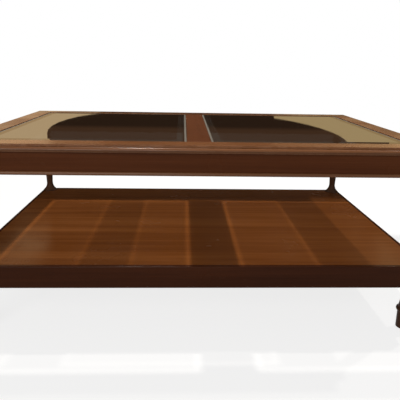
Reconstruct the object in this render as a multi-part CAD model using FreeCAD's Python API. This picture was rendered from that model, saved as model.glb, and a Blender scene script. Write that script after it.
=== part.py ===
import FreeCAD, Part
import math
import os

# Two-tier coffee table: a mitred top frame with two loose glass panes, an apron with a bead,
# turned posts, a deep-edged shelf and turned feet.
# Millimetres. X runs along the length, Y from front to back and Z up.
# The origin is on the floor, under the middle.

# Overall
TOP_LENGTH = 1118.0
TOP_DEPTH = 711.0
TABLE_HEIGHT = 467.0
CORNER_EASE = 2.0           # radius that takes the sharpness off outer corners
JOINT_CLEARANCE = 0.1       # all round a tongue, tenon, dowel, stud or screw
HOLE_END_CLEARANCE = 1.0    # past the end of what a blind hole holds

# Top frame
FRAME_THICKNESS = 17.0
RAIL_FACE = 58.0            # width of a rail beside the glass
CENTRE_RAIL_FACE = 56.0
REBATE_WIDTH = 10.0         # ledge that carries the glass
QUIRK_SETBACK = 8.0         # from the rail's outer edge to the step beside the flat top
QUIRK_DROP = 2.2
EDGE_BEAD_HEIGHT = 3.6      # small half-round bead under the step
OVOLO_RADIUS = 5.8          # quarter round under the bead
FILLET_SETBACK = 4.0        # narrow square edge under the quarter round

# Loose tongues in the frame's mitres and dowels at the centre rail's ends
TONGUE_LENGTH = 42.0
TONGUE_WIDTH = 24.0
TONGUE_THICKNESS = 4.0
TONGUE_FROM_CORNER = 37.0
TONGUE_BELOW_TOP = 8.0
DOWEL_RADIUS = 3.0
DOWEL_LENGTH = 40.0
DOWEL_SPACING = 36.0

# Glass and its pads
GLASS_THICKNESS = 6.0
GLASS_GAP = 1.0
GLASS_SET_DOWN = 0.5
BEVEL_WIDTH = 24.0
BEVEL_DEPTH = 1.2
PAD_RADIUS = 3.5
PAD_THICKNESS = 1.0
PAD_FROM_CORNER = 70.0

# Apron, bead and corner braces
APRON_SETBACK = 12.0
APRON_HEIGHT = 53.0
APRON_THICKNESS = 18.0
TENON_LENGTH = 14.0
TENON_THICKNESS = 8.0
TENON_SHOULDER = 10.0       # above and below the tenon
BEAD_HEIGHT = 8.5
BEAD_PROJECTION = 4.0
BEAD_FLAT = 1.0             # straight part of the bead's top and underside
BRACE_HEIGHT = 25.0
BRACE_THICKNESS = 20.0
BRACE_CLEARANCE = 2.0       # between a brace and the post block
BRACE_SCREW_FROM_APRON = 9.0

# Posts
POST_BLOCK = 36.0
POST_BLOCK_EASE = 1.5
POST_BASE_RADIUS = 23.5
POST_BASE_HEIGHT = 2.0
POST_FLARE_HEIGHT = 26.0
POST_NECK_RADIUS = 10.3
POST_SWELL_RADIUS = 14.5
POST_WAIST_RADIUS = 11.0
POST_RING_RADIUS = 16.0
POST_RING_HEIGHT = 9.0
POST_CAP_RADIUS = 17.0
POST_CAP_HEIGHT = 5.0
POST_CAP_COVE = 12.0        # height of the hollow between ring and cap

# Shelf
SHELF_SETBACK = 4.0
SHELF_TOP = 180.0
SHELF_EDGE_HEIGHT = 56.0
SHELF_RAIL_THICKNESS = 18.0
SHELF_LIP = 10.0            # width of rail that shows round the panel
SHELF_PANEL_THICKNESS = 16.0
SHELF_PANEL_GAP = 0.3
SHELF_TOP_EASE = 3.0
SHELF_BOTTOM_EASE = 1.5
SHELF_BLOCK = 40.0
BEARER_WIDTH = 60.0
BEARER_HEIGHT = 30.0
BEARER_HOUSING = 6.0
BEARER_SCREW_SPACING = 240.0

# Feet, studs and glides
FOOT_BOTTOM_RADIUS = 18.0
FOOT_SHANK_RADIUS = 19.0
FOOT_RING_LEVEL = 53.0      # middle of the ring above the floor
FOOT_RING_RADIUS = 23.0
FOOT_RING_HEIGHT = 10.0
FOOT_RING_STEP = 1.0        # flat beside the ring
FOOT_NECK_RADIUS = 15.5
FOOT_COLLAR_RADIUS = 22.5
FOOT_COLLAR_HEIGHT = 6.0
STUD_RADIUS = 4.0
STUD_IN_FOOT = 45.0
STUD_IN_POST = 40.0
GLIDE_RADIUS = 12.0
GLIDE_THICKNESS = 3.0
GLIDE_EDGE = 1.2
GLIDE_NAIL_RADIUS = 1.5
GLIDE_NAIL_LENGTH = 15.0

# Wood screws
SCREW_RADIUS = 2.0
SCREW_HEAD_RADIUS = 4.0
SCREW_HEAD_HEIGHT = 2.5
SCREW_BITE = 9.0            # length in the piece that is pulled down

# Levels and places that follow from the sizes above
REBATE_DEPTH = GLASS_SET_DOWN + GLASS_THICKNESS + PAD_THICKNESS
FRAME_UNDERSIDE = TABLE_HEIGHT - FRAME_THICKNESS
LEDGE_LEVEL = TABLE_HEIGHT - REBATE_DEPTH
GLASS_UNDERSIDE = LEDGE_LEVEL + PAD_THICKNESS
APRON_BOTTOM = FRAME_UNDERSIDE - APRON_HEIGHT
SHELF_BOTTOM = SHELF_TOP - SHELF_EDGE_HEIGHT
PANEL_UNDERSIDE = SHELF_TOP - SHELF_PANEL_THICKNESS
APRON_BACK = APRON_SETBACK + APRON_THICKNESS
BLOCK_INNER = APRON_SETBACK + POST_BLOCK
POST_FROM_EDGE = APRON_SETBACK + POST_BLOCK / 2
POST_X = TOP_LENGTH / 2 - POST_FROM_EDGE
POST_Y = TOP_DEPTH / 2 - POST_FROM_EDGE
OPENING_HALF_DEPTH = TOP_DEPTH / 2 - RAIL_FACE
SHELF_INNER = SHELF_SETBACK + SHELF_RAIL_THICKNESS

SIDES = ("front", "back", "left", "right")
CORNERS = (("front_left", -1, -1), ("front_right", 1, -1), ("back_left", -1, 1), ("back_right", 1, 1))
UP = FreeCAD.Vector(0, 0, 1)


def vector(x, y, z=0.0):
    return FreeCAD.Vector(x, y, z)


def box(low, high):
    """Block between two opposite corners."""
    size = [high[i] - low[i] for i in range(3)]
    return Part.makeBox(size[0], size[1], size[2], vector(low[0], low[1], low[2]))


def cylinder(radius, x, y, bottom, top):
    return Part.makeCylinder(radius, top - bottom, vector(x, y, bottom), UP)


def line(start, end):
    return Part.LineSegment(vector(*start), vector(*end)).toShape()


def arc(start, through, end):
    return Part.Arc(vector(*start), vector(*through), vector(*end)).toShape()


def rounded(start, corner, end):
    """Quarter circle in place of a square corner."""
    keep = math.sqrt(0.5)
    return arc(start, [c * keep + (a + b - c) * (1 - keep) for a, c, b in zip(start, corner, end)], end)


def outline(points):
    """Closed run of straight edges."""
    return [line(a, b) for a, b in zip(points, points[1:] + points[:1])]


def polygon(points, bottom, top):
    """Upright prism on a closed outline of (x, y) points."""
    corners = [vector(x, y, bottom) for x, y in points]
    face = Part.Face(Part.makePolygon(corners + corners[:1]))
    return face.extrude(vector(0, 0, top - bottom))


def turned(edges, x, y):
    """Solid of revolution from edges drawn with radius along X and height along Z."""
    solid = Part.Face(Part.Wire(edges)).revolve(vector(0, 0), UP, 360)
    solid.translate(vector(x, y))
    return solid


def side_run(side):
    """Length of the table's edge along one side."""
    return TOP_LENGTH if side in ("front", "back") else TOP_DEPTH


def to_side(shape, side):
    """Moves a piece drawn along X, with +Y pointing in from the table's edge, to one side of the table."""
    turn, x, y = {
        "front": (0, 0, -TOP_DEPTH / 2),
        "back": (180, 0, TOP_DEPTH / 2),
        "left": (-90, -TOP_LENGTH / 2, 0),
        "right": (90, TOP_LENGTH / 2, 0),
    }[side]
    moved = shape.copy()
    moved.rotate(vector(0, 0), UP, turn)
    moved.translate(vector(x, y))
    return moved


def to_corner(point, sign_x, sign_y):
    """Place of a point given by its distances in from the two edges of the table at a corner."""
    return sign_x * (TOP_LENGTH / 2 - point[0]), sign_y * (TOP_DEPTH / 2 - point[1])


def moulding(edges, side, outer, inner, bottom, top):
    """Run of moulding along one side, mitred at both ends.

    The edges are drawn with Z as height and Y as the distance in from the table's edge, from outer to inner.
    """
    half = side_run(side) / 2
    run = Part.Face(Part.Wire(edges)).extrude(vector(2 * half, 0))
    run.translate(vector(-half, 0))
    plan = [(outer - half, outer), (half - outer, outer), (half - inner, inner), (inner - half, inner)]
    return to_side(run.common(polygon(plan, bottom, top)), side).common(eased_outline(outer, bottom, top))


def eased_outline(setback, bottom, top):
    """Upright block on the table's outline, set in by setback, with its corners eased."""
    x, y = TOP_LENGTH / 2 - setback, TOP_DEPTH / 2 - setback
    block = box((-x, -y, bottom), (x, y, top))
    upright = [e for e in block.Edges if abs(e.Vertexes[0].Z - e.Vertexes[1].Z) > (top - bottom) / 2]
    return block.makeFillet(CORNER_EASE, upright)


def screw(x, y, bottom, top, clearance=0.0):
    """Countersunk screw driven upwards, or with a clearance the hole for it."""
    head = SCREW_HEAD_RADIUS + clearance
    shank = SCREW_RADIUS + clearance
    tip = top + (HOLE_END_CLEARANCE if clearance else 0.0)
    neck = bottom + SCREW_HEAD_HEIGHT
    points = [(0, 0, bottom), (head, 0, bottom), (shank, 0, neck), (shank, 0, tip), (0, 0, tip)]
    return turned(outline(points), x, y)


# Top frame

def rail_section():
    """Section of an outer rail: step, bead, quarter round and fillet down the edge, ledge for the glass."""
    def at(u, drop):
        return (0, u, TABLE_HEIGHT - drop)

    bead_bottom = QUIRK_DROP + EDGE_BEAD_HEIGHT
    bead_front = at(QUIRK_SETBACK - EDGE_BEAD_HEIGHT / 2, QUIRK_DROP + EDGE_BEAD_HEIGHT / 2)
    round_bottom = bead_bottom + OVOLO_RADIUS
    ledge_edge = RAIL_FACE + REBATE_WIDTH
    return [
        line(at(RAIL_FACE, 0), at(QUIRK_SETBACK, 0)),
        line(at(QUIRK_SETBACK, 0), at(QUIRK_SETBACK, QUIRK_DROP)),
        arc(at(QUIRK_SETBACK, QUIRK_DROP), bead_front, at(QUIRK_SETBACK, bead_bottom)),
        line(at(QUIRK_SETBACK, bead_bottom), at(OVOLO_RADIUS, bead_bottom)),
        rounded(at(OVOLO_RADIUS, bead_bottom), at(0, bead_bottom), at(0, round_bottom)),
        line(at(0, round_bottom), at(FILLET_SETBACK, round_bottom)),
        line(at(FILLET_SETBACK, round_bottom), at(FILLET_SETBACK, FRAME_THICKNESS)),
        line(at(FILLET_SETBACK, FRAME_THICKNESS), at(ledge_edge, FRAME_THICKNESS)),
        line(at(ledge_edge, FRAME_THICKNESS), at(ledge_edge, REBATE_DEPTH)),
        line(at(ledge_edge, REBATE_DEPTH), at(RAIL_FACE, REBATE_DEPTH)),
        line(at(RAIL_FACE, REBATE_DEPTH), at(RAIL_FACE, 0)),
    ]


def tongue(sign_x, sign_y, clearance=0.0):
    """Loose tongue across a mitre of the top frame, or with a clearance the slot for it."""
    top = TABLE_HEIGHT - TONGUE_BELOW_TOP
    half_length = TONGUE_LENGTH / 2 + clearance
    half_width = TONGUE_WIDTH / 2 + clearance
    plate = box(
        (-half_length, -half_width, top - TONGUE_THICKNESS - clearance),
        (half_length, half_width, top + clearance),
    )
    plate.rotate(vector(0, 0), UP, math.degrees(math.atan2(sign_y, sign_x)))
    plate.translate(vector(*to_corner((TONGUE_FROM_CORNER, TONGUE_FROM_CORNER), sign_x, sign_y)))
    return plate


def centre_dowels(clearance=0.0):
    """Dowels between the centre rail and the front and back rails, or with a clearance their holes."""
    middle = (LEDGE_LEVEL + FRAME_UNDERSIDE) / 2
    length = DOWEL_LENGTH + (2 * HOLE_END_CLEARANCE if clearance else 0.0)
    joint = OPENING_HALF_DEPTH - REBATE_WIDTH
    return [
        Part.makeCylinder(
            DOWEL_RADIUS + clearance,
            length,
            vector(sign_x * DOWEL_SPACING / 2, sign_y * joint - length / 2, middle),
            vector(0, 1),
        )
        for sign_x in (-1, 1)
        for sign_y in (-1, 1)
    ]


def centre_rail():
    """Rail between the panes, with a ledge on each side and its ends halved over the other rails' ledges."""
    face, ledge = CENTRE_RAIL_FACE / 2, CENTRE_RAIL_FACE / 2 + REBATE_WIDTH
    short = OPENING_HALF_DEPTH - REBATE_WIDTH
    foot = box((-ledge, -short, FRAME_UNDERSIDE), (ledge, short, LEDGE_LEVEL))
    crown = box((-face, -OPENING_HALF_DEPTH, LEDGE_LEVEL), (face, OPENING_HALF_DEPTH, TABLE_HEIGHT))
    return foot.fuse(crown).removeSplitter().cut(centre_dowels(JOINT_CLEARANCE))


def brace_screw_places(sign_x, sign_y):
    """Where a corner brace's two screws go up, one into each rail of the mitre."""
    inner = APRON_BACK + BRACE_SCREW_FROM_APRON
    outer = brace_reach() + BRACE_THICKNESS / math.sqrt(2) - inner
    return [to_corner(place, sign_x, sign_y) for place in ((inner, outer), (outer, inner))]


def brace_screws(clearance=0.0):
    return [
        screw(x, y, FRAME_UNDERSIDE - BRACE_HEIGHT, FRAME_UNDERSIDE + SCREW_BITE, clearance)
        for name, sign_x, sign_y in CORNERS
        for x, y in brace_screw_places(sign_x, sign_y)
    ]


def top_rail(side):
    rail = moulding(rail_section(), side, 0, RAIL_FACE + REBATE_WIDTH, FRAME_UNDERSIDE, TABLE_HEIGHT)
    slots = [tongue(sign_x, sign_y, JOINT_CLEARANCE) for name, sign_x, sign_y in CORNERS]
    return rail.cut(slots + centre_dowels(JOINT_CLEARANCE) + brace_screws(JOINT_CLEARANCE))


# Glass

def opening(sign_x):
    """Lowest and highest X of the opening on one side of the centre rail."""
    ends = (sign_x * CENTRE_RAIL_FACE / 2, sign_x * (TOP_LENGTH / 2 - RAIL_FACE))
    return min(ends), max(ends)


def glass_pane(sign_x):
    """Loose pane with a wide bevel round its upper edge."""
    low, high = opening(sign_x)

    def rim(inset, level):
        x0, x1 = low + GLASS_GAP + inset, high - GLASS_GAP - inset
        y = OPENING_HALF_DEPTH - GLASS_GAP - inset
        corners = [vector(x0, -y, level), vector(x1, -y, level), vector(x1, y, level), vector(x0, y, level)]
        return Part.makePolygon(corners + corners[:1])

    top = GLASS_UNDERSIDE + GLASS_THICKNESS
    sections = [rim(0, GLASS_UNDERSIDE), rim(0, top - BEVEL_DEPTH), rim(BEVEL_WIDTH, top)]
    return Part.makeLoft(sections, True, True)


def glass_pads():
    """Small clear pads on the ledges, six under each pane."""
    pads = []
    for sign_x in (-1, 1):
        low, high = opening(sign_x)
        edge_y = OPENING_HALF_DEPTH - REBATE_WIDTH / 2
        places = [(low + REBATE_WIDTH / 2, 0), (high - REBATE_WIDTH / 2, 0)]
        places += [(x, y) for x in (low + PAD_FROM_CORNER, high - PAD_FROM_CORNER) for y in (-edge_y, edge_y)]
        pads += [cylinder(PAD_RADIUS, x, y, LEDGE_LEVEL, GLASS_UNDERSIDE) for x, y in places]
    return pads


# Apron

def apron(side):
    """Board between two post blocks, with a tenon on each end."""
    half = side_run(side) / 2 - BLOCK_INNER
    middle = APRON_SETBACK + APRON_THICKNESS / 2
    board = box((-half, APRON_SETBACK, APRON_BOTTOM), (half, APRON_BACK, FRAME_UNDERSIDE))
    tenon = box(
        (-half - TENON_LENGTH, middle - TENON_THICKNESS / 2, APRON_BOTTOM + TENON_SHOULDER),
        (half + TENON_LENGTH, middle + TENON_THICKNESS / 2, FRAME_UNDERSIDE - TENON_SHOULDER),
    )
    return to_side(board.fuse(tenon).removeSplitter(), side)


def mortises(side):
    """Space that the tenons of one apron board need in the post blocks."""
    half = side_run(side) / 2 - BLOCK_INNER
    reach = TENON_LENGTH + HOLE_END_CLEARANCE
    middle = APRON_SETBACK + APRON_THICKNESS / 2
    wide = TENON_THICKNESS / 2 + JOINT_CLEARANCE
    low = APRON_BOTTOM + TENON_SHOULDER - JOINT_CLEARANCE
    high = FRAME_UNDERSIDE - TENON_SHOULDER + JOINT_CLEARANCE
    return to_side(box((-half - reach, middle - wide, low), (half + reach, middle + wide, high)), side)


def bead(side):
    """Rounded strip along the foot of the apron, running on across the post blocks."""
    outer, back = APRON_SETBACK - BEAD_PROJECTION, APRON_SETBACK
    shoulder = back - BEAD_FLAT
    low, high = APRON_BOTTOM, APRON_BOTTOM + BEAD_HEIGHT
    section = [
        line((0, back, low), (0, back, high)),
        line((0, back, high), (0, shoulder, high)),
        arc((0, shoulder, high), (0, outer, (low + high) / 2), (0, shoulder, low)),
        line((0, shoulder, low), (0, back, low)),
    ]
    return moulding(section, side, outer, back, low, high)


def brace_reach():
    """Sum of the distances in from the two edges, for points on the brace's face towards the corner."""
    return 2 * BLOCK_INNER + BRACE_CLEARANCE * math.sqrt(2)


def corner_brace(sign_x, sign_y):
    """Diagonal brace behind a post block, glued to two apron boards and screwed to the top frame."""
    near = brace_reach() - APRON_BACK
    far = near + BRACE_THICKNESS * math.sqrt(2)
    plan = [(APRON_BACK, near), (APRON_BACK, far), (far, APRON_BACK), (near, APRON_BACK)]
    places = [to_corner(point, sign_x, sign_y) for point in plan]
    brace = polygon(places, FRAME_UNDERSIDE - BRACE_HEIGHT, FRAME_UNDERSIDE)
    return brace.cut(brace_screws(JOINT_CLEARANCE))


# Posts

def post(sign_x, sign_y):
    """Turned post with a square head: flared foot, slender neck, long swell, ring, hollow and cap."""
    base = SHELF_TOP + POST_BASE_HEIGHT
    flare_top = base + POST_FLARE_HEIGHT
    cap = APRON_BOTTOM - POST_CAP_HEIGHT
    ring_top = cap - POST_CAP_COVE
    ring_bottom = ring_top - POST_RING_HEIGHT
    ring_rim = (POST_WAIST_RADIUS + POST_RING_RADIUS) / 2
    swell = (flare_top + ring_bottom) / 2
    flare_width = POST_BASE_RADIUS - POST_NECK_RADIUS
    flare_radius = (flare_width ** 2 + POST_FLARE_HEIGHT ** 2) / (2 * flare_width)
    flare_half_turn = math.asin(POST_FLARE_HEIGHT / flare_radius) / 2
    flare_middle = (
        POST_NECK_RADIUS + flare_radius * (1 - math.cos(flare_half_turn)),
        0,
        flare_top - flare_radius * math.sin(flare_half_turn),
    )
    shaft = Part.BSplineCurve()
    shaft.interpolate(
        [
            vector(POST_NECK_RADIUS, 0, flare_top),
            vector((POST_NECK_RADIUS + POST_SWELL_RADIUS) / 2, 0, (flare_top + swell) / 2),
            vector(POST_SWELL_RADIUS, 0, swell),
            vector((POST_SWELL_RADIUS + POST_WAIST_RADIUS) / 2, 0, (swell + ring_bottom) / 2),
            vector(POST_WAIST_RADIUS, 0, ring_bottom),
        ]
    )
    ring_front = (POST_RING_RADIUS, 0, (ring_bottom + ring_top) / 2)
    hollow = (POST_WAIST_RADIUS, 0, (ring_top + cap) / 2)
    edges = [
        line((0, 0, SHELF_TOP), (POST_BASE_RADIUS, 0, SHELF_TOP)),
        line((POST_BASE_RADIUS, 0, SHELF_TOP), (POST_BASE_RADIUS, 0, base)),
        arc((POST_BASE_RADIUS, 0, base), flare_middle, (POST_NECK_RADIUS, 0, flare_top)),
        shaft.toShape(),
        line((POST_WAIST_RADIUS, 0, ring_bottom), (ring_rim, 0, ring_bottom)),
        arc((ring_rim, 0, ring_bottom), ring_front, (ring_rim, 0, ring_top)),
        arc((ring_rim, 0, ring_top), hollow, (POST_CAP_RADIUS, 0, cap)),
        line((POST_CAP_RADIUS, 0, cap), (POST_CAP_RADIUS, 0, APRON_BOTTOM)),
        line((POST_CAP_RADIUS, 0, APRON_BOTTOM), (0, 0, APRON_BOTTOM)),
        line((0, 0, APRON_BOTTOM), (0, 0, SHELF_TOP)),
    ]
    x, y = sign_x * POST_X, sign_y * POST_Y
    half = POST_BLOCK / 2
    head = box((x - half, y - half, APRON_BOTTOM), (x + half, y + half, FRAME_UNDERSIDE))
    outer = vector(x + sign_x * half, y + sign_y * half)
    outer_edge = [e for e in head.Edges if e.CenterOfMass.distanceToLine(outer, UP) < half / 2]
    head = head.makeFillet(POST_BLOCK_EASE, outer_edge)
    whole = turned(edges, x, y).fuse(head).removeSplitter()
    return whole.cut([mortises(side) for side in SIDES] + [stud(x, y, JOINT_CLEARANCE)])


def stud(x, y, clearance=0.0):
    """Steel stud through a shelf corner, or with a clearance the hole for it."""
    extra = HOLE_END_CLEARANCE if clearance else 0.0
    low, high = SHELF_BOTTOM - STUD_IN_FOOT - extra, SHELF_TOP + STUD_IN_POST + extra
    return cylinder(STUD_RADIUS + clearance, x, y, low, high)


# Shelf

def shelf_rail(side):
    """Deep edge rail with a ledge for the panel; front and back take the bearer's ends."""
    outer, lip, inner = SHELF_SETBACK, SHELF_SETBACK + SHELF_LIP, SHELF_INNER
    top_edge, bottom_edge = (0, outer, SHELF_TOP), (0, outer, SHELF_BOTTOM)
    top_inner, top_lower = (0, outer + SHELF_TOP_EASE, SHELF_TOP), (0, outer, SHELF_TOP - SHELF_TOP_EASE)
    bottom_inner = (0, outer + SHELF_BOTTOM_EASE, SHELF_BOTTOM)
    bottom_upper = (0, outer, SHELF_BOTTOM + SHELF_BOTTOM_EASE)
    section = [
        line((0, lip, SHELF_TOP), top_inner),
        rounded(top_inner, top_edge, top_lower),
        line(top_lower, bottom_upper),
        rounded(bottom_upper, bottom_edge, bottom_inner),
        line(bottom_inner, (0, inner, SHELF_BOTTOM)),
        line((0, inner, SHELF_BOTTOM), (0, inner, PANEL_UNDERSIDE)),
        line((0, inner, PANEL_UNDERSIDE), (0, lip, PANEL_UNDERSIDE)),
        line((0, lip, PANEL_UNDERSIDE), (0, lip, SHELF_TOP)),
    ]
    return moulding(section, side, outer, inner, SHELF_BOTTOM, SHELF_TOP).cut(bearer_block(JOINT_CLEARANCE))


def bearer_block(clearance=0.0):
    """Bearer across the middle of the shelf, or with a clearance the space that it needs in the rails."""
    half = BEARER_WIDTH / 2 + clearance
    reach = TOP_DEPTH / 2 - SHELF_INNER + BEARER_HOUSING + clearance
    return box((-half, -reach, PANEL_UNDERSIDE - BEARER_HEIGHT - clearance), (half, reach, PANEL_UNDERSIDE))


def bearer_screws(clearance=0.0):
    low, high = PANEL_UNDERSIDE - BEARER_HEIGHT, PANEL_UNDERSIDE + SCREW_BITE
    return [screw(0, step * BEARER_SCREW_SPACING, low, high, clearance) for step in (-1, 0, 1)]


def stud_holes():
    return [stud(sign_x * POST_X, sign_y * POST_Y, JOINT_CLEARANCE) for name, sign_x, sign_y in CORNERS]


def shelf_panel():
    """Panel let into the rails, flush with their top, clamped between the posts and the corner blocks."""
    inset = SHELF_SETBACK + SHELF_LIP + SHELF_PANEL_GAP
    x, y = TOP_LENGTH / 2 - inset, TOP_DEPTH / 2 - inset
    panel = box((-x, -y, PANEL_UNDERSIDE), (x, y, SHELF_TOP))
    return panel.cut(stud_holes() + bearer_screws(JOINT_CLEARANCE))


def shelf_block(sign_x, sign_y):
    """Glue block in a lower corner of the shelf, bored for the stud."""
    far = SHELF_INNER + SHELF_BLOCK
    plan = [(SHELF_INNER, SHELF_INNER), (far, SHELF_INNER), (far, far), (SHELF_INNER, far)]
    places = [to_corner(point, sign_x, sign_y) for point in plan]
    return polygon(places, SHELF_BOTTOM, PANEL_UNDERSIDE).cut(stud_holes())


# Feet

def foot(sign_x, sign_y):
    """Turned foot: tapered shank, ring, hollow neck and collar under the shelf."""
    ring_low, ring_high = FOOT_RING_LEVEL - FOOT_RING_HEIGHT / 2, FOOT_RING_LEVEL + FOOT_RING_HEIGHT / 2
    collar = SHELF_BOTTOM - FOOT_COLLAR_HEIGHT
    rim = FOOT_SHANK_RADIUS + FOOT_RING_STEP
    edges = [
        line((0, 0, GLIDE_THICKNESS), (FOOT_BOTTOM_RADIUS, 0, GLIDE_THICKNESS)),
        line((FOOT_BOTTOM_RADIUS, 0, GLIDE_THICKNESS), (FOOT_SHANK_RADIUS, 0, ring_low)),
        line((FOOT_SHANK_RADIUS, 0, ring_low), (rim, 0, ring_low)),
        arc((rim, 0, ring_low), (FOOT_RING_RADIUS, 0, FOOT_RING_LEVEL), (rim, 0, ring_high)),
        line((rim, 0, ring_high), (FOOT_SHANK_RADIUS, 0, ring_high)),
        arc(
            (FOOT_SHANK_RADIUS, 0, ring_high),
            (FOOT_NECK_RADIUS, 0, (ring_high + collar) / 2),
            (FOOT_SHANK_RADIUS, 0, collar),
        ),
        line((FOOT_SHANK_RADIUS, 0, collar), (FOOT_COLLAR_RADIUS, 0, collar)),
        line((FOOT_COLLAR_RADIUS, 0, collar), (FOOT_COLLAR_RADIUS, 0, SHELF_BOTTOM)),
        line((FOOT_COLLAR_RADIUS, 0, SHELF_BOTTOM), (0, 0, SHELF_BOTTOM)),
        line((0, 0, SHELF_BOTTOM), (0, 0, GLIDE_THICKNESS)),
    ]
    x, y = sign_x * POST_X, sign_y * POST_Y
    nail_hole = cylinder(
        GLIDE_NAIL_RADIUS + JOINT_CLEARANCE, x, y, 0, GLIDE_THICKNESS + GLIDE_NAIL_LENGTH + HOLE_END_CLEARANCE
    )
    return turned(edges, x, y).cut([stud(x, y, JOINT_CLEARANCE), nail_hole])


def glide(sign_x, sign_y):
    """Nail-on glide under a foot."""
    tip = GLIDE_THICKNESS + GLIDE_NAIL_LENGTH
    flat = (GLIDE_RADIUS - GLIDE_EDGE, 0, 0)
    edges = [
        line((0, 0, 0), flat),
        rounded(flat, (GLIDE_RADIUS, 0, 0), (GLIDE_RADIUS, 0, GLIDE_EDGE)),
        line((GLIDE_RADIUS, 0, GLIDE_EDGE), (GLIDE_RADIUS, 0, GLIDE_THICKNESS)),
        line((GLIDE_RADIUS, 0, GLIDE_THICKNESS), (GLIDE_NAIL_RADIUS, 0, GLIDE_THICKNESS)),
        line((GLIDE_NAIL_RADIUS, 0, GLIDE_THICKNESS), (GLIDE_NAIL_RADIUS, 0, tip)),
        line((GLIDE_NAIL_RADIUS, 0, tip), (0, 0, tip)),
        line((0, 0, tip), (0, 0, 0)),
    ]
    return turned(edges, sign_x * POST_X, sign_y * POST_Y)


def pieces():
    """Every node of the table, by name."""
    nodes = {}
    for side in SIDES:
        nodes[f"top_rail_{side}"] = top_rail(side)
        nodes[f"apron_{side}"] = apron(side)
        nodes[f"apron_bead_{side}"] = bead(side)
        nodes[f"shelf_rail_{side}"] = shelf_rail(side)
    for name, sign_x, sign_y in CORNERS:
        nodes[f"corner_brace_{name}"] = corner_brace(sign_x, sign_y)
        nodes[f"post_{name}"] = post(sign_x, sign_y)
        nodes[f"shelf_block_{name}"] = shelf_block(sign_x, sign_y)
        nodes[f"foot_{name}"] = foot(sign_x, sign_y)
    nodes["top_rail_centre"] = centre_rail()
    nodes["glass_pane_left"] = glass_pane(-1)
    nodes["glass_pane_right"] = glass_pane(1)
    nodes["shelf_panel"] = shelf_panel()
    nodes["shelf_bearer"] = bearer_block().cut(bearer_screws(JOINT_CLEARANCE))
    nodes["mitre_tongues"] = Part.makeCompound([tongue(sign_x, sign_y) for name, sign_x, sign_y in CORNERS])
    nodes["centre_dowels"] = Part.makeCompound(centre_dowels())
    nodes["glass_pads"] = Part.makeCompound(glass_pads())
    nodes["brace_screws"] = Part.makeCompound(brace_screws())
    nodes["bearer_screws"] = Part.makeCompound(bearer_screws())
    studs = [stud(sign_x * POST_X, sign_y * POST_Y) for name, sign_x, sign_y in CORNERS]
    nodes["leg_studs"] = Part.makeCompound(studs)
    nodes["foot_glides"] = Part.makeCompound([glide(sign_x, sign_y) for name, sign_x, sign_y in CORNERS])
    return nodes


os.makedirs("parts", exist_ok=True)
for node, shape in pieces().items():
    shape.exportStep(f"parts/{node}.step")
    print(node, len(shape.Solids), "solids, valid" if shape.isValid() else "solids, NOT VALID")
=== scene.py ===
import math
from collections import namedtuple

import bmesh
import bpy
from mathutils import Matrix, Vector


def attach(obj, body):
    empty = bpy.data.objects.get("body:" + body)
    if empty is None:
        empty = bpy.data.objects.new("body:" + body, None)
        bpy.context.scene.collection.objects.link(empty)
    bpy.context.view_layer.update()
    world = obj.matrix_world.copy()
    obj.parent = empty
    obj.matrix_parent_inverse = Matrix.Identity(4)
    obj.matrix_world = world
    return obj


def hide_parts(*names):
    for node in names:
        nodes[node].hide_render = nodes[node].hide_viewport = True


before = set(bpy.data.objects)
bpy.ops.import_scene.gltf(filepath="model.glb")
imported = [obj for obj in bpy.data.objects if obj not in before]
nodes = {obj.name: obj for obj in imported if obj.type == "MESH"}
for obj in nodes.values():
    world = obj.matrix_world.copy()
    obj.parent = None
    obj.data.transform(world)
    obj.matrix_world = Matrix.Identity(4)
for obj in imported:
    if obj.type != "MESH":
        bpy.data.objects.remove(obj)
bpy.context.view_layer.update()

# Camera: place in metres, turn and tilt in radians, lens from its length in pixels
CAMERA_PLACE = Vector((-0.0379, -1.3443, 0.6395))
CAMERA_YAW = 0.0399
CAMERA_PITCH = 0.2891
CAMERA_ROLL = -0.0177
LENS_PIXELS = 459.5
IMAGE_PIXELS = 400
SENSOR_MM = 36.0

# Light: two lamps behind and above, whose light falls through the panes, and soft ones in front and behind
LAMP_AIM = Vector((0.0, 0.0, 0.32))
LEFT_LAMP_PLACE = Vector((-0.41, 1.12, 3.33))
LEFT_LAMP_WATTS = 67.0
RIGHT_LAMP_PLACE = Vector((2.45, 1.10, 3.60))
RIGHT_LAMP_WATTS = 60.0
TOP_LAMP_SIZE = 0.11
FRONT_LAMP_PLACE = Vector((-1.1, -3.4, 1.6))
FRONT_LAMP_WATTS = 72.0
BACK_LAMP_PLACE = Vector((0.9, 3.6, 1.7))
BACK_LAMP_WATTS = 35.0
SOFT_LAMP_SIZE = 2.4
WARM_LIGHT = (1.0, 0.95, 0.88)
PLAIN_LIGHT = (1.0, 0.98, 0.95)
WORLD_COLOUR = (1.0, 0.97, 0.93)
WORLD_FILL = 0.16
WHITE = (1.0, 1.0, 1.0)

# A bar in the air behind the table, which keeps the two upper lamps off the back strip of the shelf
BAR_Y = 0.50
BAR_ENDS = (-1.2, 1.8)
BAR_LEVELS = (0.74, 1.20)

# Glowing cards, no lamps, that only gloss and glass show, as painted reflections: two pale ones stand behind
# the table
PALE_CARD_Y = 2.62
PALE_CARD_HALF = 2.6
PALE_CARD_LEVELS = (0.25, 2.4)
PALE_LEFT_COLOUR = (0.98, 0.68, 0.38)
PALE_RIGHT_COLOUR = (0.80, 0.56, 0.28)

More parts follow.
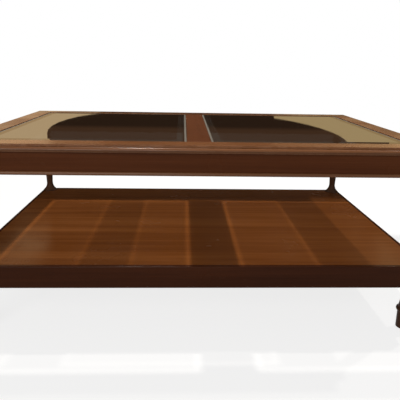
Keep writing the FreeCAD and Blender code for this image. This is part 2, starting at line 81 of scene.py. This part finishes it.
# Before the pale cards' middle stands a dark one with a round foot that sags below its corners
DARK_CARD_Y = 2.60
DARK_CARD_MIDDLE = 0.115
DARK_CARD_HALF = 1.305
DARK_CARD_CORNER_LEVEL = 0.93
DARK_CARD_SAG = 0.25
DARK_CARD_LEAN = 0.035
DARK_CARD_TOP = 2.4
DARK_CARD_STEPS = 24
DARK_CARD_COLOUR = (0.050, 0.026, 0.015)
DARK_CARD_UPPER_COLOUR = (0.114, 0.055, 0.029)
DARK_CARD_CHANGE = (0.81, 0.84)

# Beside it is a dark wing, below it a dark strip, and low dark cards stand round the table's back and ends
DARK_WING_ENDS = (1.40, 1.80)
DARK_WING_LEVELS = (1.02, 2.4)
DARK_STRIP_HALF = 0.74
DARK_STRIP_LEVELS = (0.20, 0.79)
LOW_CARD_DEPTHS = (-0.40, 0.62)
LOW_CARD_HALF = 0.75
LOW_CARD_LEVELS = (0.02, 0.46)
LOW_CARD_RIGHT_LEVELS = (0.02, 0.37)

# Floor: how much of its white is its own, where the shadow's share fades out, and what it throws back
FLOOR_HALF = 30.0
FLOOR_OWN_WHITE = 0.80
FLOOR_SHADE_SHARE = 0.20
FLOOR_FADE = (1.2, 3.2)
FLOOR_BOUNCE_COLOUR = (0.48, 0.47, 0.46)

# Patterns: features a metre along and across the grain, and how fine, rough and bent they are
Pattern = namedtuple("Pattern", "along across detail rough distortion", defaults=(0.5, 0.0))
FIGURE = Pattern(along=0.8, across=12.0, detail=2.0, distortion=0.7)
STREAKS = Pattern(along=1.7, across=80.0, detail=5.0, rough=0.62, distortion=0.25)
FIBRES = Pattern(along=5.0, across=520.0, detail=3.0, rough=0.6)
PORES = Pattern(along=16.0, across=1900.0, detail=1.0)
RUBS = Pattern(along=38.0, across=38.0, detail=3.0, rough=0.6)
HAZE = Pattern(along=7.0, across=7.0, detail=3.0, rough=0.6)
BARE_RINGS = Pattern(along=2.2, across=95.0, detail=4.0, rough=0.6, distortion=0.3)
BARE_FIBRES = Pattern(along=14.0, across=900.0, detail=3.0, rough=0.65)
PLATE_CLOUDS = Pattern(along=160.0, across=160.0, detail=4.0, rough=0.6)
PLATE_SCRATCHES = Pattern(along=240.0, across=2600.0, detail=2.0)
PAD_CLOUDS = Pattern(along=420.0, across=420.0, detail=3.0, rough=0.6)
SMEARS = Pattern(along=14.0, across=9.0, detail=4.0, rough=0.65, distortion=0.4)

# The range that holds most values of a pattern
PATTERN_RANGE = (0.3, 0.7)

# Lacquered wood: shares of the patterns in its tone, places of the tones, roughness and relief
FIGURE_SHARE = 0.50
STREAK_SHARE = 0.32
FIBRE_SHARE = 0.18
TONE_PLACES = (0.34, 0.50, 0.66)
LACQUER_ROUGHNESS = (0.14, 0.30)
LACQUER_RELIEF = 0.15
LACQUER_RELIEF_DEPTH = 0.00012
FIBRE_RELIEF = 0.5

# Pores in the lacquer: where their pattern turns to pores, their share and their part of the dark tone
PORE_RANGE = (0.60, 0.72)
PORE_SHARE = 0.25
PORE_TONE = 0.4

# Arrises: their rounding in metres, the turn of the face that counts as one, and where they are made lighter
# by rubbing and painted highlight
ARRIS_RADIUS = 0.0011
ARRIS_SAMPLES = 4
ARRIS_TURN = (0.01, 0.16)
RUB_RANGE = (0.42, 0.66)
RUB_ROUGHNESS = 0.12

# Painted shade on the lower lip of the top's edge, standing for the shadow under the moulding: its share,
# its part of the dark tone, and where it fades out
LIP_PAINTED_SHADE_SHARE = 0.50
LIP_PAINTED_SHADE_TONE = 0.3
LIP_PAINTED_SHADE_LEVELS = (0.4550, 0.4575)

# Lacquer on each kind of piece: colours as linear light, gloss, and how much its arrises are made lighter by
# rubbing and painted highlight
Lacquer = namedtuple("Lacquer", "dark middle light rubbed shine wear", defaults=(0.5,))
# Front and back rails: lighter than the end and centre rails of the same wood, as painted light on the front
# rail
LONG_RAIL = Lacquer(
    dark=(0.119, 0.0415, 0.0128),
    middle=(0.172, 0.0640, 0.0212),
    light=(0.236, 0.0955, 0.0365),
    rubbed=(0.50, 0.27, 0.15),
    shine=0.16,
    wear=1.6,
)
CROSS_RAIL = Lacquer(
    dark=(0.065, 0.0178, 0.006),
    middle=(0.098, 0.0275, 0.0093),
    light=(0.138, 0.043, 0.0165),
    rubbed=(0.52, 0.33, 0.20),
    shine=0.04,
    wear=1.6,
)
CENTRE_RAIL = Lacquer(
    dark=(0.063, 0.0166, 0.0044),
    middle=(0.095, 0.0256, 0.0068),
    light=(0.133, 0.040, 0.0125),
    rubbed=(0.32, 0.15, 0.075),
    shine=0.22,
)
APRON = Lacquer(
    dark=(0.049, 0.0136, 0.0040),
    middle=(0.071, 0.0203, 0.0061),
    light=(0.096, 0.029, 0.0095),
    rubbed=(0.19, 0.09, 0.047),
    shine=0.05,
)
# The bead: lighter than the apron's wood, as painted light its upper half catches from above, and worn
# lighter
BEAD_LIT_AND_WORN = Lacquer(
    dark=(0.098, 0.035, 0.0105),
    middle=(0.142, 0.054, 0.017),
    light=(0.195, 0.080, 0.027),
    rubbed=(0.40, 0.24, 0.15),
    shine=0.20,
    wear=1.0,
)
# The shelf's edge: darker than the apron's wood, as painted shade for the shade it stands in below the top
SHELF_EDGE_IN_SHADE = Lacquer(
    dark=(0.0285, 0.0078, 0.0027),
    middle=(0.041, 0.0114, 0.0039),
    light=(0.057, 0.0163, 0.0058),
    rubbed=(0.12, 0.052, 0.026),
    shine=0.05,
)
TURNED = Lacquer(
    dark=(0.046, 0.0200, 0.0100),
    middle=(0.071, 0.0325, 0.0170),
    light=(0.105, 0.050, 0.0265),
    rubbed=(0.17, 0.09, 0.052),
    shine=0.05,
)
VENEER = Lacquer(
    dark=(0.093, 0.026, 0.0050),
    middle=(0.137, 0.042, 0.0088),
    light=(0.19, 0.064, 0.0155),
    rubbed=(0.26, 0.12, 0.055),
    shine=0.08,
)

# Unfinished wood: dark and light tone of each kind of piece, shares of the patterns, roughness and relief
BRACE_TONES = ((0.30, 0.19, 0.10), (0.46, 0.31, 0.18))
BLOCK_TONES = ((0.28, 0.17, 0.09), (0.43, 0.28, 0.16))
BEARER_TONES = ((0.29, 0.18, 0.10), (0.45, 0.30, 0.17))
PEG_TONES = ((0.42, 0.30, 0.18), (0.58, 0.44, 0.29))
BARE_RING_SHARE = 0.65
BARE_FIBRE_SHARE = 0.35
BARE_TONE_PLACES = (0.36, 0.64)
BARE_ROUGHNESS = (0.62, 0.80)
BARE_SHINE = 0.2
BARE_RELIEF = 0.4
BARE_RELIEF_DEPTH = 0.0002

# Plated steel: clean and tarnished colour and range of roughness, and how its patterns make them
Plating = namedtuple("Plating", "clean tarnished roughness")
ZINC = Plating(clean=(0.58, 0.58, 0.57), tarnished=(0.40, 0.40, 0.38), roughness=(0.28, 0.50))
NICKEL = Plating(clean=(0.62, 0.60, 0.56), tarnished=(0.42, 0.40, 0.37), roughness=(0.18, 0.40))
TARNISH_PLACES = (0.34, 0.62)
SCRATCH_SHARE = 0.4
PLATE_RANGE = (0.4, 1.0)
PLATE_RELIEF = 0.15
PLATE_RELIEF_DEPTH = 0.0001

# Soft plastic of the pads
PAD_TONES = ((0.46, 0.46, 0.43), (0.62, 0.62, 0.60))
PAD_ROUGHNESS = (0.25, 0.45)

# Glass panes, in metres
PANE_NEAR = 0.029
PANE_FAR = 0.500
PANE_HALF_DEPTH = 0.2965
PANE_LOW = 0.4605
PANE_HIGH = 0.4665
PANE_BEVEL_WIDTH = 0.024
PANE_BEVEL_DROP = 0.0012
PANE_BRIGHT_BAND = 0.010
PANE_BAND_EDGE = 0.0015

# Ground strip along the bevel's outer edge: its width, the part of it where it fades out, and its share
RIM_WIDTH = 0.0048
RIM_FADE = (0.75, 1.25)
RIM_SHARES = (0.50, 0.02)
RIM_ROUGHNESS = (0.35, 0.55)

# Smears on the glass, and how far a face is turned away where it starts to mirror and where it does so fully
SMEAR_RANGE = (0.35, 0.70)
GLASS_ROUGHNESS = (0.012, 0.035)
FACING_BLEND = 0.5
PANE_TURN = (0.72, 0.84)
BEVEL_TURN = (0.45, 0.66)

# Faces of a pane: colours, shares and turn of the mirror, light let through, and colour of the ground strip
Glass = namedtuple("Glass", "clear mirror shares turn lit band_lit rim", defaults=(None, None))
PANE_FACE = Glass(
    clear=(0.93, 0.94, 0.915),
    mirror=(0.40, 0.41, 0.40),
    shares=(0.06, 0.99),
    turn=PANE_TURN,
    lit=0.80,
    band_lit=1.70,
)
PANE_BEVEL = Glass(
    clear=(0.62, 0.68, 0.64),
    mirror=(0.33, 0.31, 0.27),
    shares=(0.15, 0.97),
    turn=BEVEL_TURN,
    lit=0.06,
    rim=(0.29, 0.28, 0.235),
)
PANE_EDGE = Glass(
    clear=(0.10, 0.17, 0.15),
    mirror=(0.10, 0.12, 0.11),
    shares=(0.25, 0.60),
    turn=PANE_TURN,
    lit=0.30,
)
PANE_UNDER = Glass(
    clear=(0.98, 0.98, 0.97),
    mirror=(0.05, 0.05, 0.05),
    shares=(0.02, 0.10),
    turn=PANE_TURN,
    lit=1.0,
)
FACE_SLOT, BEVEL_SLOT, EDGE_SLOT, UNDER_SLOT = range(4)

# Words in the names of the pieces
ENDS = ("left", "right")
FACES = ("front", "back")
CORNERS = [f"{face}_{end}" for face in FACES for end in ENDS]


def full(colour):
    """A colour as a socket takes it, with nothing seen through it."""
    return (*colour, 1.0)


def darker(colour, share):
    """A colour with only this share of its light."""
    return tuple(share * part for part in colour)


def cleared(owner):
    """The node tree of a material or a world, emptied."""
    owner.use_nodes = True
    owner.node_tree.nodes.clear()
    return owner.node_tree


def add(tree, kind, inputs=None, **settings):
    """A new node with its settings and inputs: a socket is linked, anything else is a value."""
    made = tree.nodes.new(kind)
    for name, value in settings.items():
        setattr(made, name, value)
    for name, value in (inputs or {}).items():
        if isinstance(value, bpy.types.NodeSocket):
            tree.links.new(value, made.inputs[name])
        else:
            made.inputs[name].default_value = value
    return made


def maths(tree, operation, first, second=0.0):
    """The result of a sum on two values or sockets."""
    return add(tree, "ShaderNodeMath", {0: first, 1: second}, operation=operation).outputs[0]


def vector_maths(tree, operation, first, second):
    """The result of a sum on two vectors or sockets."""
    made = add(tree, "ShaderNodeVectorMath", {0: first, 1: second}, operation=operation)
    return made.outputs["Value"] if operation == "DOT_PRODUCT" else made.outputs["Vector"]


def total(tree, *parts):
    """The sum of some values, each with its share."""
    result = 0.0
    for value, share in parts:
        result = maths(tree, "ADD", result, maths(tree, "MULTIPLY", value, share))
    return result


def ramp(tree, value, places, colours):
    """A colour that runs through these colours, each at its place."""
    made = add(tree, "ShaderNodeValToRGB", {"Fac": value})
    elements = made.color_ramp.elements
    while len(elements) < len(places):
        elements.new(0.5)
    for element, place, colour in zip(elements, places, colours):
        element.position = place
        element.color = full(colour)
    return made.outputs["Color"]


def spread(tree, value, source, target=(0.0, 1.0)):
    """A value brought from one range into another, and held inside it."""
    inputs = {
        "Value": value,
        "From Min": source[0],
        "From Max": source[1],
        "To Min": target[0],
        "To Max": target[1],
    }
    return add(tree, "ShaderNodeMapRange", inputs).outputs["Result"]


def blend(tree, factor, first, second):
    """One colour laid over another."""
    return add(tree, "ShaderNodeMix", {0: factor, 6: first, 7: second}, data_type="RGBA").outputs[2]


def mix(tree, share, first, second):
    """A shader with this share of the second one."""
    return add(tree, "ShaderNodeMixShader", {0: share, 1: first.outputs[0], 2: second.outputs[0]})


def noise(tree, coords, pattern, grain="x"):
    """A soft random pattern, drawn out along the grain."""
    scale = tuple(pattern.along if axis == grain else pattern.across for axis in "xyz")
    inputs = {
        "Vector": vector_maths(tree, "MULTIPLY", coords, scale),
        "Scale": 1.0,
        "Detail": pattern.detail,
        "Roughness": pattern.rough,
        "Distortion": pattern.distortion,
    }
    return add(tree, "ShaderNodeTexNoise", inputs).outputs["Fac"]


def relief(tree, height, strength, depth, soft=None):
    """The normal of a face with a fine relief on it, over a softened normal where there is one."""
    inputs = {"Strength": strength, "Distance": depth, "Height": height}
    if soft is not None:
        inputs["Normal"] = soft
    return add(tree, "ShaderNodeBump", inputs).outputs["Normal"]


def table_place(tree):
    """The place of a point in the table's own coordinates, in metres."""
    return add(tree, "ShaderNodeTexCoord").outputs["Object"]


def new_material(name):
    """An empty material and its tree."""
    made = bpy.data.materials.new(name)
    return made, cleared(made)


def principled(tree, **inputs):
    """The shader of a plain surface, its sockets given by short names."""
    names = {
        "colour": "Base Color",
        "rough": "Roughness",
        "normal": "Normal",
        "shine": "Specular IOR Level",
        "metal": "Metallic",
    }
    return add(tree, "ShaderNodeBsdfPrincipled", {names[name]: value for name, value in inputs.items()})


def show(tree, shader, owner="Material"):
    """The material or world of this tree shows the shader."""
    add(tree, f"ShaderNodeOutput{owner}", {"Surface": shader.outputs[0]})


def level_of(tree, coords):
    """The height of a point above the floor."""
    return add(tree, "ShaderNodeSeparateXYZ", {0: coords}).outputs["Z"]


def edge_share(tree):
    """How near an arris a point is, from 0 to 1, and the rounded normal there."""
    soft = add(tree, "ShaderNodeBevel", {"Radius": ARRIS_RADIUS}, samples=ARRIS_SAMPLES).outputs["Normal"]
    sharp = add(tree, "ShaderNodeNewGeometry").outputs["Normal"]
    turn = maths(tree, "SUBTRACT", 1.0, vector_maths(tree, "DOT_PRODUCT", soft, sharp))
    return spread(tree, turn, ARRIS_TURN), soft


def lacquered(name, grain, finish, lip_painted_shade=False):
    """Lacquered wood: broad figure, streaks, fibres and pores along the grain, and arrises made lighter by
    rubbing and, where their share is turned up, by painted highlight lines.

    With painted shade on the lip, it is darker below the painted shade's levels.
    """
    made, tree = new_material(name)
    coords = table_place(tree)
    figure = noise(tree, coords, FIGURE, grain)
    streaks = noise(tree, coords, STREAKS, grain)
    fibres = noise(tree, coords, FIBRES, grain)
    pits = spread(tree, noise(tree, coords, PORES, grain), PORE_RANGE)
    tone = total(tree, (figure, FIGURE_SHARE), (streaks, STREAK_SHARE), (fibres, FIBRE_SHARE))
    colour = ramp(tree, tone, TONE_PLACES, (finish.dark, finish.middle, finish.light))
    pore_share = maths(tree, "MULTIPLY", pits, PORE_SHARE)
    colour = blend(tree, pore_share, colour, full(darker(finish.dark, PORE_TONE)))
    near_arris, soft = edge_share(tree)
    # Lighter arrises: worn by rubbing, and where the share is turned up, as on the top's rails and the bead,
    # painted highlight lines
    patches = spread(tree, noise(tree, coords, RUBS), RUB_RANGE, (0.0, finish.wear))
    rubbed = maths(tree, "MULTIPLY", near_arris, patches)
    colour = blend(tree, rubbed, colour, full(finish.rubbed))
    if lip_painted_shade:
        # Painted shade: the lower lip of the top's edge is darkened below these levels, for the shadow under
        # the moulding
        lip_shade_share = spread(tree, level_of(tree, coords), LIP_PAINTED_SHADE_LEVELS, (LIP_PAINTED_SHADE_SHARE, 0.0))
        colour = blend(tree, lip_shade_share, colour, full(darker(finish.dark, LIP_PAINTED_SHADE_TONE)))
    haze = spread(tree, noise(tree, coords, HAZE), PATTERN_RANGE, LACQUER_ROUGHNESS)
    rough = maths(tree, "ADD", haze, maths(tree, "MULTIPLY", rubbed, RUB_ROUGHNESS))
    height = maths(tree, "SUBTRACT", maths(tree, "MULTIPLY", fibres, FIBRE_RELIEF), pits)
    normal = relief(tree, height, LACQUER_RELIEF, LACQUER_RELIEF_DEPTH, soft)
    show(tree, principled(tree, colour=colour, rough=rough, normal=normal, shine=finish.shine))
    return made


def bare_wood(name, grain, tones):
    """Unfinished wood: pale, dry and open grained."""
    made, tree = new_material(name)
    coords = table_place(tree)
    rings = noise(tree, coords, BARE_RINGS, grain)
    fibres = noise(tree, coords, BARE_FIBRES, grain)
    tone = total(tree, (rings, BARE_RING_SHARE), (fibres, BARE_FIBRE_SHARE))
    colour = ramp(tree, tone, BARE_TONE_PLACES, tones)
    rough = spread(tree, fibres, PATTERN_RANGE, BARE_ROUGHNESS)
    normal = relief(tree, fibres, BARE_RELIEF, BARE_RELIEF_DEPTH)
    show(tree, principled(tree, colour=colour, rough=rough, normal=normal, shine=BARE_SHINE))
    return made


def plated(name, finish):
    """Plated steel with a clouded finish, fine scratches and dulled spots."""
    made, tree = new_material(name)
    coords = table_place(tree)
    clouds = noise(tree, coords, PLATE_CLOUDS)
    scratches = noise(tree, coords, PLATE_SCRATCHES, "y")
    colour = ramp(tree, clouds, TARNISH_PLACES, (finish.tarnished, finish.clean))
    dulled = maths(tree, "ADD", clouds, maths(tree, "MULTIPLY", scratches, SCRATCH_SHARE))
    rough = spread(tree, dulled, PLATE_RANGE, finish.roughness)
    normal = relief(tree, scratches, PLATE_RELIEF, PLATE_RELIEF_DEPTH)
    show(tree, principled(tree, colour=colour, rough=rough, normal=normal, metal=1.0))
    return made


def soft_pad(name):
    """Clear soft plastic, a little cloudy."""
    made, tree = new_material(name)
    clouds = noise(tree, table_place(tree), PAD_CLOUDS)
    colour = ramp(tree, clouds, PATTERN_RANGE, PAD_TONES)
    rough = spread(tree, clouds, PATTERN_RANGE, PAD_ROUGHNESS)
    show(tree, principled(tree, colour=colour, rough=rough))
    return made


def rim_distance(tree, coords):
    """How far in from its nearest edge a point of either pane is, in metres."""
    place = add(tree, "ShaderNodeSeparateXYZ", {0: coords}).outputs
    sideways = maths(tree, "ABSOLUTE", place["X"])
    from_near = maths(tree, "SUBTRACT", sideways, PANE_NEAR)
    from_far = maths(tree, "SUBTRACT", PANE_FAR, sideways)
    from_front_or_back = maths(tree, "SUBTRACT", PANE_HALF_DEPTH, maths(tree, "ABSOLUTE", place["Y"]))
    return maths(tree, "MINIMUM", maths(tree, "MINIMUM", from_near, from_far), from_front_or_back)


def glass(name, finish):
    """Sheet glass: seen through from above, and more of a mirror the flatter it is looked along.

    It lets a share of the lamps' light through, and some faces another share in a band beside the bevel.
    With a rim colour, a narrow ground strip runs along its outer edge.
    """
    made, tree = new_material(name)
    coords = table_place(tree)
    smears = noise(tree, coords, SMEARS, "y")
    through = add(tree, "ShaderNodeBsdfTransparent", {"Color": full(finish.clear)})
    blur = spread(tree, smears, SMEAR_RANGE, GLASS_ROUGHNESS)
    gloss = add(tree, "ShaderNodeBsdfGlossy", {"Color": full(finish.mirror), "Roughness": blur})
    flat = add(tree, "ShaderNodeLayerWeight", {"Blend": FACING_BLEND}).outputs["Facing"]
    look = mix(tree, spread(tree, flat, finish.turn, finish.shares), through, gloss)
    if finish.rim:
        rough = spread(tree, smears, PATTERN_RANGE, RIM_ROUGHNESS)
        ground = principled(tree, colour=full(finish.rim), rough=rough)
        fade = [part * RIM_WIDTH for part in RIM_FADE]
        look = mix(tree, spread(tree, rim_distance(tree, coords), fade, RIM_SHARES), look, ground)
    lit = full([finish.lit] * 3)
    if finish.band_lit:
        band = PANE_BEVEL_WIDTH + PANE_BRIGHT_BAND
        edge = (band - PANE_BAND_EDGE, band + PANE_BAND_EDGE)
        lit = spread(tree, rim_distance(tree, coords), edge, (finish.band_lit, finish.lit))
    passed = add(tree, "ShaderNodeBsdfTransparent", {"Color": lit})
    show(tree, mix(tree, add(tree, "ShaderNodeLightPath").outputs["Is Shadow Ray"], look, passed))
    return made


def dress(material, *names):
    """The CAD nodes of these names take this material."""
    for name in names:
        slots = nodes[name].data.materials
        slots.clear()
        slots.append(material)


def woodwork():
    """Finishes of the wooden pieces."""
    for grain, sides, rail in (("x", FACES, LONG_RAIL), ("y", ENDS, CROSS_RAIL)):
        top = lacquered(f"top_wood_{grain}", grain, rail, lip_painted_shade=True)
        apron = lacquered(f"apron_wood_{grain}", grain, APRON)
        bead = lacquered(f"bead_wood_{grain}", grain, BEAD_LIT_AND_WORN)
        edge = lacquered(f"shelf_edge_wood_{grain}", grain, SHELF_EDGE_IN_SHADE)
        dress(top, *[f"top_rail_{side}" for side in sides])
        dress(apron, *[f"apron_{side}" for side in sides])
        dress(bead, *[f"apron_bead_{side}" for side in sides])
        dress(edge, *[f"shelf_rail_{side}" for side in sides])
    dress(lacquered("centre_wood", "y", CENTRE_RAIL), "top_rail_centre")
    turned = lacquered("turned_wood", "z", TURNED)
    dress(turned, *[f"{kind}_{corner}" for kind in ("post", "foot") for corner in CORNERS])
    dress(lacquered("veneer_wood", "x", VENEER), "shelf_panel")
    dress(bare_wood("brace_wood", "x", BRACE_TONES), *[f"corner_brace_{corner}" for corner in CORNERS])
    dress(bare_wood("block_wood", "z", BLOCK_TONES), *[f"shelf_block_{corner}" for corner in CORNERS])
    dress(bare_wood("bearer_wood", "y", BEARER_TONES), "shelf_bearer")
    dress(bare_wood("peg_wood", "x", PEG_TONES), "mitre_tongues", "centre_dowels")


def fittings():
    """Finishes of the metal pieces and the pads."""
    dress(plated("zinc_plate", ZINC), "brace_screws", "bearer_screws", "leg_studs")
    dress(plated("nickel_plate", NICKEL), "foot_glides")
    dress(soft_pad("clear_pad"), "glass_pads")


def oblong(first, second):
    """The corners of an oblong, in order, from its limits along two axes."""
    (low, high), (start, end) = first, second
    return ((low, start), (high, start), (high, end), (low, end))


def pane(name, node, side, materials):
    """A bevelled pane that stands for its CAD node: flat faces, ground bevels and polished edges."""
    shape = bmesh.new()

    def ring(inset, height):
        near, far = PANE_NEAR + inset, PANE_FAR - inset
        depth = PANE_HALF_DEPTH - inset
        corners = oblong((near, far), (-depth, depth))
        return [shape.verts.new((side * x, y, height)) for x, y in corners]

    rings = [
        ring(0.0, PANE_LOW),
        ring(0.0, PANE_HIGH - PANE_BEVEL_DROP),
        ring(PANE_BEVEL_WIDTH, PANE_HIGH),
    ]
    shape.faces.new(rings[0]).material_index = UNDER_SLOT
    shape.faces.new(rings[-1]).material_index = FACE_SLOT
    for low, high, slot in zip(rings, rings[1:], (EDGE_SLOT, BEVEL_SLOT)):
        for corner in range(4):
            after = (corner + 1) % 4
            face = shape.faces.new((low[corner], low[after], high[after], high[corner]))
            face.material_index = slot
    bmesh.ops.recalc_face_normals(shape, faces=shape.faces)
    mesh = bpy.data.meshes.new(name)
    shape.to_mesh(mesh)
    shape.free()
    for material in materials:
        mesh.materials.append(material)
    piece = bpy.data.objects.new(name, mesh)
    bpy.context.scene.collection.objects.link(piece)
    body = "left_pane" if side < 0 else "right_pane"
    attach(piece, body)
    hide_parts(node)


def panes():
    """Both panes, with a finish for each kind of face, in the order of its slot."""
    materials = (
        glass("pane_glass", PANE_FACE),
        glass("pane_bevel", PANE_BEVEL),
        glass("pane_edge", PANE_EDGE),
        glass("pane_under", PANE_UNDER),
    )
    pane("pane_left", "glass_pane_left", -1, materials)
    pane("pane_right", "glass_pane_right", 1, materials)


def across(y, ends, levels):
    """The corners of an oblong that stands across the table's depth."""
    return [(x, y, level) for x, level in oblong(ends, levels)]


def beside(x, depths, levels):
    """The corners of an oblong that stands across the table's length."""
    return [(x, y, level) for y, level in oblong(depths, levels)]


def upright(name, points, seen_by):
    """A flat stage piece with these corners, seen only by the named kind of ray."""
    mesh = bpy.data.meshes.new(name)
    mesh.from_pydata(points, [], [tuple(range(len(points)))])
    made = bpy.data.objects.new(name, mesh)
    for kind in ("camera", "diffuse", "glossy", "transmission", "shadow"):
        setattr(made, f"visible_{kind}", kind == seen_by)
    bpy.context.scene.collection.objects.link(made)
    return made


def card(name, points, colour, upper_colour=None):
    """A plain glowing card of one colour, or of another in its upper part, which only gloss and glass show:
    a painted reflection.
    """
    made, tree = new_material(name)
    tint = full(colour)
    if upper_colour:
        upper = spread(tree, level_of(tree, table_place(tree)), DARK_CARD_CHANGE)
        tint = ramp(tree, upper, (0.0, 1.0), (colour, upper_colour))
    show(tree, add(tree, "ShaderNodeEmission", {"Color": tint, "Strength": 1.0}))
    upright(name, points, "glossy").data.materials.append(made)


def dark_outline():
    """The corners of the dark card, from left to right along its foot and back along its top."""
    points = []
    for step in range(DARK_CARD_STEPS + 1):
        turn = math.pi * step / DARK_CARD_STEPS
        out = -DARK_CARD_HALF * math.cos(turn)
        foot = DARK_CARD_CORNER_LEVEL - DARK_CARD_SAG * math.sin(turn) + DARK_CARD_LEAN * out
        points.append((DARK_CARD_MIDDLE + out, DARK_CARD_Y, foot))
    for out in (DARK_CARD_HALF, -DARK_CARD_HALF):
        points.append((DARK_CARD_MIDDLE + out, DARK_CARD_Y, DARK_CARD_TOP))
    return points


def surroundings():
    """The bar that shades the back of the shelf, and the cards."""
    upright("shade_bar", across(BAR_Y, BAR_ENDS, BAR_LEVELS), "shadow")
    pale_left = across(PALE_CARD_Y, (-PALE_CARD_HALF, 0.0), PALE_CARD_LEVELS)
    pale_right = across(PALE_CARD_Y, (0.0, PALE_CARD_HALF), PALE_CARD_LEVELS)
    card("pale_card_left", pale_left, PALE_LEFT_COLOUR)
    card("pale_card_right", pale_right, PALE_RIGHT_COLOUR)
    card("dark_card", dark_outline(), DARK_CARD_COLOUR, DARK_CARD_UPPER_COLOUR)
    card("dark_wing", across(DARK_CARD_Y, DARK_WING_ENDS, DARK_WING_LEVELS), DARK_CARD_UPPER_COLOUR)
    strip_ends = (-DARK_STRIP_HALF, DARK_STRIP_HALF)
    card("dark_strip", across(DARK_CARD_Y, strip_ends, DARK_STRIP_LEVELS), DARK_CARD_COLOUR)
    low_ends = (-LOW_CARD_HALF, LOW_CARD_HALF)
    card("low_card_back", across(LOW_CARD_DEPTHS[1], low_ends, LOW_CARD_LEVELS), DARK_CARD_COLOUR)
    for end, x, levels in zip(ENDS, low_ends, (LOW_CARD_LEVELS, LOW_CARD_RIGHT_LEVELS)):
        card(f"low_card_{end}", beside(x, LOW_CARD_DEPTHS, levels), DARK_CARD_COLOUR)


def area_lamp(name, place, size, watts, colour):
    """A square lamp that looks at the table."""
    lamp = bpy.data.lights.new(name, "AREA")
    lamp.shape = "SQUARE"
    lamp.size = size
    lamp.energy = watts
    lamp.color = colour
    made = bpy.data.objects.new(name, lamp)
    made.location = place
    made.rotation_mode = "QUATERNION"
    made.rotation_quaternion = (LAMP_AIM - place).to_track_quat("-Z", "Y")
    bpy.context.scene.collection.objects.link(made)


def seen_share(tree):
    """1 for what the camera, a gloss or a glass looks at, and 0 for light that falls on things."""
    path = add(tree, "ShaderNodeLightPath")
    share = maths(tree, "MAXIMUM", path.outputs["Is Camera Ray"], path.outputs["Is Glossy Ray"])
    return maths(tree, "MAXIMUM", share, path.outputs["Is Transmission Ray"])


def white_world():
    """Surroundings that look white and give a soft fill of light."""
    world = bpy.data.worlds.new("studio")
    bpy.context.scene.world = world
    tree = cleared(world)
    fill = add(tree, "ShaderNodeBackground", {"Color": full(WORLD_COLOUR), "Strength": WORLD_FILL})
    white = add(tree, "ShaderNodeBackground", {"Color": full(WHITE), "Strength": 1.0})
    show(tree, mix(tree, seen_share(tree), fill, white), "World")


def pale_floor():
    """A floor that looks white, but for the table's shadow."""
    mesh = bpy.data.meshes.new("floor")
    limits = (-FLOOR_HALF, FLOOR_HALF)
    mesh.from_pydata([(x, y, 0.0) for x, y in oblong(limits, limits)], [], [(0, 1, 2, 3)])
    floor = bpy.data.objects.new("floor", mesh)
    bpy.context.scene.collection.objects.link(floor)
    made, tree = new_material("pale_floor")
    flat = vector_maths(tree, "MULTIPLY", table_place(tree), (1.0, 1.0, 0.0))
    away = add(tree, "ShaderNodeVectorMath", {0: flat}, operation="LENGTH").outputs["Value"]
    shade = add(tree, "ShaderNodeBsdfDiffuse", {"Color": full([FLOOR_SHADE_SHARE] * 3)})
    own = add(tree, "ShaderNodeEmission", {"Color": full(WHITE), "Strength": FLOOR_OWN_WHITE})
    near = add(tree, "ShaderNodeAddShader", {0: shade.outputs[0], 1: own.outputs[0]})
    whole = add(tree, "ShaderNodeEmission", {"Color": full(WHITE), "Strength": 1.0})
    seen = mix(tree, spread(tree, away, FLOOR_FADE), near, whole)
    bounce = add(tree, "ShaderNodeBsdfDiffuse", {"Color": full(FLOOR_BOUNCE_COLOUR)})
    show(tree, mix(tree, seen_share(tree), bounce, seen))
    mesh.materials.append(made)


def studio():
    """White surroundings, the floor and the lamps."""
    bpy.context.scene.view_settings.view_transform = "Standard"
    white_world()
    pale_floor()
    area_lamp("left_lamp", LEFT_LAMP_PLACE, TOP_LAMP_SIZE, LEFT_LAMP_WATTS, WARM_LIGHT)
    area_lamp("right_lamp", RIGHT_LAMP_PLACE, TOP_LAMP_SIZE, RIGHT_LAMP_WATTS, WARM_LIGHT)
    area_lamp("front_lamp", FRONT_LAMP_PLACE, SOFT_LAMP_SIZE, FRONT_LAMP_WATTS, PLAIN_LIGHT)
    area_lamp("back_lamp", BACK_LAMP_PLACE, SOFT_LAMP_SIZE, BACK_LAMP_WATTS, PLAIN_LIGHT)


def camera():
    """A camera at the photograph's place."""
    ahead = Vector((
        math.sin(CAMERA_YAW) * math.cos(CAMERA_PITCH),
        math.cos(CAMERA_YAW) * math.cos(CAMERA_PITCH),
        -math.sin(CAMERA_PITCH),
    ))
    level = Vector((math.cos(CAMERA_YAW), -math.sin(CAMERA_YAW), 0.0))
    down = ahead.cross(level)
    right = math.cos(CAMERA_ROLL) * level + math.sin(CAMERA_ROLL) * down
    lower = math.cos(CAMERA_ROLL) * down - math.sin(CAMERA_ROLL) * level
    data = bpy.data.cameras.new("camera")
    data.sensor_fit = "HORIZONTAL"
    data.sensor_width = SENSOR_MM
    data.lens = LENS_PIXELS / IMAGE_PIXELS * SENSOR_MM
    made = bpy.data.objects.new("camera", data)
    turn = Matrix((right, -lower, -ahead)).transposed()
    made.matrix_world = Matrix.Translation(CAMERA_PLACE) @ turn.to_4x4()
    bpy.context.scene.collection.objects.link(made)
    bpy.context.scene.camera = made


woodwork()
fittings()
panes()
studio()
surroundings()
camera()
